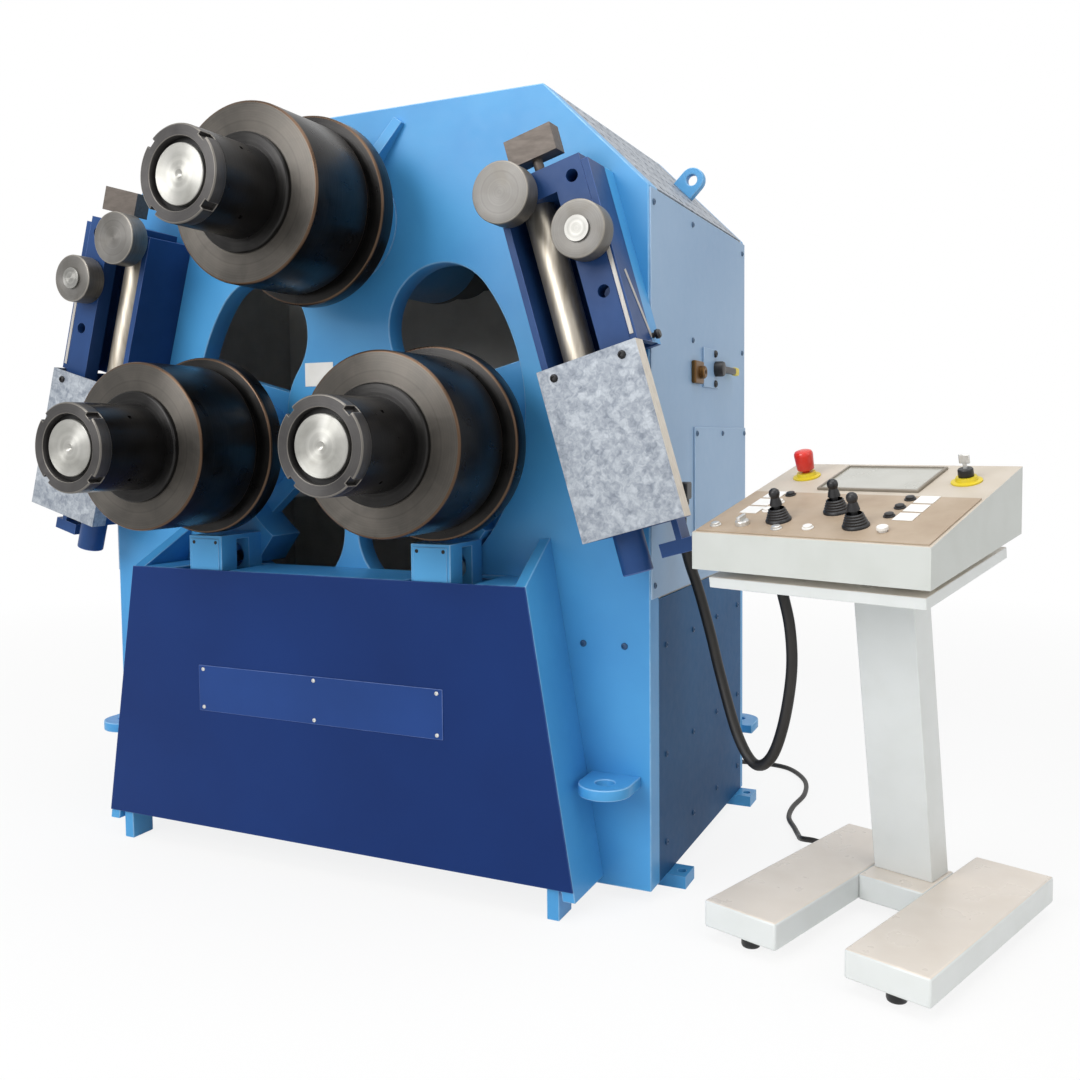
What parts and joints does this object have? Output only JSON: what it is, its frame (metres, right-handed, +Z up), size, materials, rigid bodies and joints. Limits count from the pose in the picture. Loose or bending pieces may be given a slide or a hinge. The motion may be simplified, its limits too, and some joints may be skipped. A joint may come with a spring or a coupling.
{
  "type": "angle roll bender",
  "caption": "Floor-standing hydraulic roll bender with a fixed top roll, swinging lower rolls, leaning side guides and a wired control desk.",
  "frame": {"origin": "on the floor, at the centre of the four anchor holes", "axes": "+Z up, -Y toward the operator and the rolls' free ends, +X to the operator's right"},
  "size_m": [2.5627, 1.7224, 1.87],
  "materials": {
    "machine_paint": "light blue gloss paint",
    "cover_paint": "grey-blue satin paint",
    "deep_paint": "dark blue satin paint",
    "zinc_sheet": "zinc-coated sheet",
    "roller_steel": "turned steel",
    "shaft_steel": "turned steel",
    "roll_steel": "dark oiled tool steel",
    "nut_steel": "oiled steel",
    "bearing_steel": "ground steel",
    "screw_steel": "zinc-plated screws",
    "rod_chrome": "hard chrome",
    "cylinder_paint": "dark blue paint",
    "drive_paint": "black enamel",
    "desk_paint": "off-white powder coat",
    "panel_sheet": "beige panel",
    "black_plastic": "black",
    "red_plastic": "red",
    "white_plastic": "white",
    "knob_metal": "satin",
    "cable_rubber": "black sheath"
  },
  "bodies": {
    "frame": {"front_plate": "machine_paint", "rear_plate": "machine_paint", "base_frame": "machine_paint", "left_side_cover": "cover_paint", "right_side_cover": "cover_paint", "roof_cover": "machine_paint", "slope_grilles": "zinc_sheet", "lifting_lugs": "machine_paint", "front_gussets": "machine_paint", "front_shelf": "machine_paint", "front_cover": "deep_paint", "cover_screws": "screw_steel", "top_housing": "machine_paint", "top_bearings": "bearing_steel", "top_gearmotor": "drive_paint", "pivot_pin": "shaft_steel", "oil_tank": "cylinder_paint", "pump_unit": "drive_paint", "lift_cylinders": "cylinder_paint", "guide_beams": "deep_paint", "guide_cylinders": "deep_paint", "guide_covers": "zinc_sheet", "console_base": "desk_paint", "console_column": "desk_paint", "console_desk": "desk_paint", "control_panel": "panel_sheet", "cable_glands": "black_plastic", "trunk_cable": "cable_rubber", "floor_cable": "cable_rubber"},
    "top_roll": {"top_shaft": "shaft_steel", "top_roll_set": "roll_steel", "top_lock_nut": "nut_steel"},
    "left_arm": {"left_arm": "machine_paint", "left_arm_bearings": "bearing_steel", "left_gearmotor": "drive_paint"},
    "right_arm": {"right_arm": "machine_paint", "right_arm_bearings": "bearing_steel", "right_gearmotor": "drive_paint"},
    "left_roll": {"left_shaft": "shaft_steel", "left_roll_set": "roll_steel", "left_lock_nut": "nut_steel"},
    "right_roll": {"right_shaft": "shaft_steel", "right_roll_set": "roll_steel", "right_lock_nut": "nut_steel"},
    "left_lift": {"left_lift_rod": "rod_chrome"},
    "right_lift": {"right_lift_rod": "rod_chrome"},
    "left_guide": {"left_guide_holder": "deep_paint"},
    "right_guide": {"right_guide_holder": "deep_paint"},
    "left_plain_roller": {"left_plain_roller": "roller_steel"},
    "left_hub_roller": {"left_hub_roller": "roller_steel"},
    "right_plain_roller": {"right_plain_roller": "roller_steel"},
    "right_hub_roller": {"right_hub_roller": "roller_steel"},
    "main_switch": {"main_switch": "black_plastic"},
    "e_stop": {"e_stop": "red_plastic"},
    "key_switch": {"key_switch": "black_plastic"},
    "left_joystick": {"left_joystick": "black_plastic"},
    "middle_joystick": {"middle_joystick": "black_plastic"},
    "right_joystick": {"right_joystick": "black_plastic"},
    "start_button": {"start_button": "white_plastic"},
    "selector_knob": {"selector_knob": "knob_metal"}
  },
  "joints": [
    {"name": "top_roll_spin", "type": "hinge", "parent": "frame", "child": "top_roll", "pos_m": [0, -0.46, 1.604], "axis": [0, 1, 0], "continuous": true},
    {"name": "left_arm_swing", "type": "hinge", "parent": "frame", "child": "left_arm", "pos_m": [0, -0.46, 1.13], "axis": [0, 1, 0], "range_deg": [0, 37]},
    {"name": "right_arm_swing", "type": "hinge", "parent": "frame", "child": "right_arm", "pos_m": [0, -0.46, 1.13], "axis": [0, -1, 0], "range_deg": [0, 37]},
    {"name": "left_roll_spin", "type": "hinge", "parent": "left_arm", "child": "left_roll", "pos_m": [-0.33421, -0.46, 1.05284], "axis": [0, 1, 0], "continuous": true},
    {"name": "right_roll_spin", "type": "hinge", "parent": "right_arm", "child": "right_roll", "pos_m": [0.33421, -0.46, 1.05284], "axis": [0, 1, 0], "continuous": true},
    {"name": "left_lift_slide", "type": "slide", "parent": "frame", "child": "left_lift", "axis": [-0.4305, 0, 0.9026], "range_m": [0, 0.3075]},
    {"name": "right_lift_slide", "type": "slide", "parent": "frame", "child": "right_lift", "axis": [0.4305, 0, 0.9026], "range_m": [0, 0.3075]},
    {"name": "left_guide_slide", "type": "slide", "parent": "frame", "child": "left_guide", "axis": [0.2756, 0, 0.9613], "range_m": [-0.15, 0.1]},
    {"name": "left_hub_roller_spin", "type": "hinge", "parent": "left_guide", "child": "left_hub_roller", "pos_m": [-0.71656, -0.64, 1.49333], "axis": [0, 1, 0], "continuous": true},
    {"name": "left_plain_roller_spin", "type": "hinge", "parent": "left_guide", "child": "left_plain_roller", "pos_m": [-0.54807, -0.659, 1.58025], "axis": [0, 1, 0], "continuous": true},
    {"name": "right_guide_slide", "type": "slide", "parent": "frame", "child": "right_guide", "axis": [-0.2756, 0, 0.9613], "range_m": [-0.15, 0.1]},
    {"name": "right_hub_roller_spin", "type": "hinge", "parent": "right_guide", "child": "right_hub_roller", "pos_m": [0.71656, -0.64, 1.49333], "axis": [0, 1, 0], "continuous": true},
    {"name": "right_plain_roller_spin", "type": "hinge", "parent": "right_guide", "child": "right_plain_roller", "pos_m": [0.54807, -0.659, 1.58025], "axis": [0, 1, 0], "continuous": true},
    {"name": "main_switch_turn", "type": "hinge", "parent": "frame", "child": "main_switch", "pos_m": [0.81, 0.037, 1.24], "axis": [1, 0, 0], "range_deg": [0, 90]},
    {"name": "e_stop_press", "type": "slide", "parent": "frame", "child": "e_stop", "axis": [0.098, 0.2824, -0.9543], "range_m": [0, 0.006]},
    {"name": "start_button_press", "type": "slide", "parent": "frame", "child": "start_button", "axis": [0.098, 0.2824, -0.9543], "range_m": [0, 0.0035], "stiffness_N_per_m": 800, "springref_m": -0.003},
    {"name": "key_switch_turn", "type": "hinge", "parent": "frame", "child": "key_switch", "pos_m": [1.45539, -0.44468, 0.96945], "axis": [-0.098, -0.2824, 0.9543], "range_deg": [-45, 45]},
    {"name": "selector_turn", "type": "hinge", "parent": "frame", "child": "selector_knob", "pos_m": [1.04379, -0.59381, 0.88305], "axis": [-0.098, -0.2824, 0.9543], "range_deg": [-45, 45]},
    {"name": "left_joystick_tilt", "type": "hinge", "parent": "frame", "child": "left_joystick", "pos_m": [1.11506, -0.58669, 0.89405], "axis": [0.9448, -0.3277, 0], "range_deg": [-15, 15], "stiffness_Nm_per_rad": 2},
    {"name": "middle_joystick_tilt", "type": "hinge", "parent": "frame", "child": "middle_joystick", "pos_m": [1.22389, -0.56283, 0.91228], "axis": [0.9448, -0.3277, 0], "range_deg": [-15, 15], "stiffness_Nm_per_rad": 2},
    {"name": "right_joystick_tilt", "type": "hinge", "parent": "frame", "child": "right_joystick", "pos_m": [1.27475, -0.65117, 0.89136], "axis": [0.9448, -0.3277, 0], "range_deg": [-15, 15], "stiffness_Nm_per_rad": 2}
  ],
  "couplings": [
    {"joint": "left_lift_slide", "follows": "left_arm_swing", "m_per_rad": 0.4757},
    {"joint": "right_lift_slide", "follows": "right_arm_swing", "m_per_rad": 0.4757}
  ]
}
